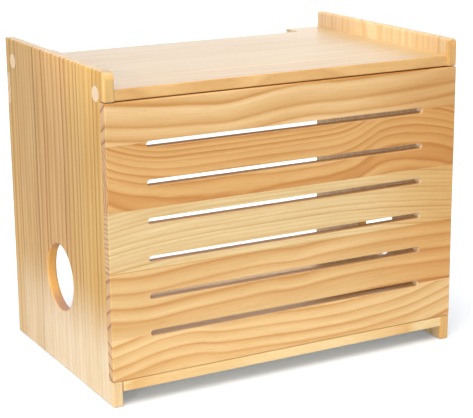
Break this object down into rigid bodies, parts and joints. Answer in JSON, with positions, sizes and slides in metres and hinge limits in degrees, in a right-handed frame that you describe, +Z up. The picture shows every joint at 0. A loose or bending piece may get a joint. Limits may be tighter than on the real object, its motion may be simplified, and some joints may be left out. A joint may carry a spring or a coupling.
{
  "type": "router storage box",
  "caption": "Pine storage box for a router: slotted drop-down front, round cable holes in the sides, open back with a rail, and a shelf top with a cable notch between raised sides.",
  "frame": {"origin": "on the floor under the middle of the box", "axes": "+X to the right across the width, -Y out of the slotted front, +Z up"},
  "size_m": [0.4, 0.26, 0.33],
  "materials": {
    "side_pine": "clear satin lacquer on edge-glued pine, vertical grain",
    "door_pine": "clear satin lacquer on edge-glued pine, flowing horizontal grain",
    "top_pine": "clear satin lacquer on pale edge-glued pine, horizontal grain",
    "birch_plug": "pale birch, sanded",
    "beech_dowel": "plain beech",
    "zinc_steel": "bright zinc",
    "pin_steel": "ground steel",
    "hinge_brass": "turned brass",
    "nickel_magnet": "nickel plate"
  },
  "bodies": {
    "cabinet": {"left_side": "side_pine", "right_side": "side_pine", "top_board": "top_pine", "bottom_board": "top_pine", "back_rail": "door_pine", "door_stop": "door_pine", "left_front_cap": "birch_plug", "left_rear_cap": "birch_plug", "right_front_cap": "birch_plug", "right_rear_cap": "birch_plug", "left_front_screw": "zinc_steel", "left_rear_screw": "zinc_steel", "right_front_screw": "zinc_steel", "right_rear_screw": "zinc_steel", "left_front_top_dowel": "beech_dowel", "left_rear_top_dowel": "beech_dowel", "right_front_top_dowel": "beech_dowel", "right_rear_top_dowel": "beech_dowel", "left_front_bottom_dowel": "beech_dowel", "left_middle_bottom_dowel": "beech_dowel", "left_rear_bottom_dowel": "beech_dowel", "right_front_bottom_dowel": "beech_dowel", "right_middle_bottom_dowel": "beech_dowel", "right_rear_bottom_dowel": "beech_dowel", "left_rail_screw": "zinc_steel", "right_rail_screw": "zinc_steel", "left_lower_barrel": "hinge_brass", "right_lower_barrel": "hinge_brass", "left_lower_pin": "pin_steel", "right_lower_pin": "pin_steel", "left_magnet": "nickel_magnet", "right_magnet": "nickel_magnet"},
    "door": {"front_door": "door_pine", "left_upper_barrel": "hinge_brass", "right_upper_barrel": "hinge_brass", "left_upper_pin": "pin_steel", "right_upper_pin": "pin_steel", "left_strike": "zinc_steel", "right_strike": "zinc_steel"},
    "left_link": {"left_hinge_link": "hinge_brass"},
    "right_link": {"right_hinge_link": "hinge_brass"}
  },
  "joints": [
    {"name": "door_drop", "type": "hinge", "parent": "cabinet", "child": "door", "pos_m": [0, -0.13, 0.02675], "axis": [1, 0, 0], "range_deg": [0, 95]},
    {"name": "left_link_swing", "type": "hinge", "parent": "cabinet", "child": "left_link", "pos_m": [-0.13, -0.1235, 0.0245], "axis": [1, 0, 0], "range_deg": [0, 47.5]},
    {"name": "right_link_swing", "type": "hinge", "parent": "cabinet", "child": "right_link", "pos_m": [0.13, -0.1235, 0.0245], "axis": [1, 0, 0], "range_deg": [0, 47.5]}
  ],
  "couplings": [
    {"joint": "left_link_swing", "follows": "door_drop", "ratio": 0.5},
    {"joint": "right_link_swing", "follows": "door_drop", "ratio": 0.5}
  ]
}
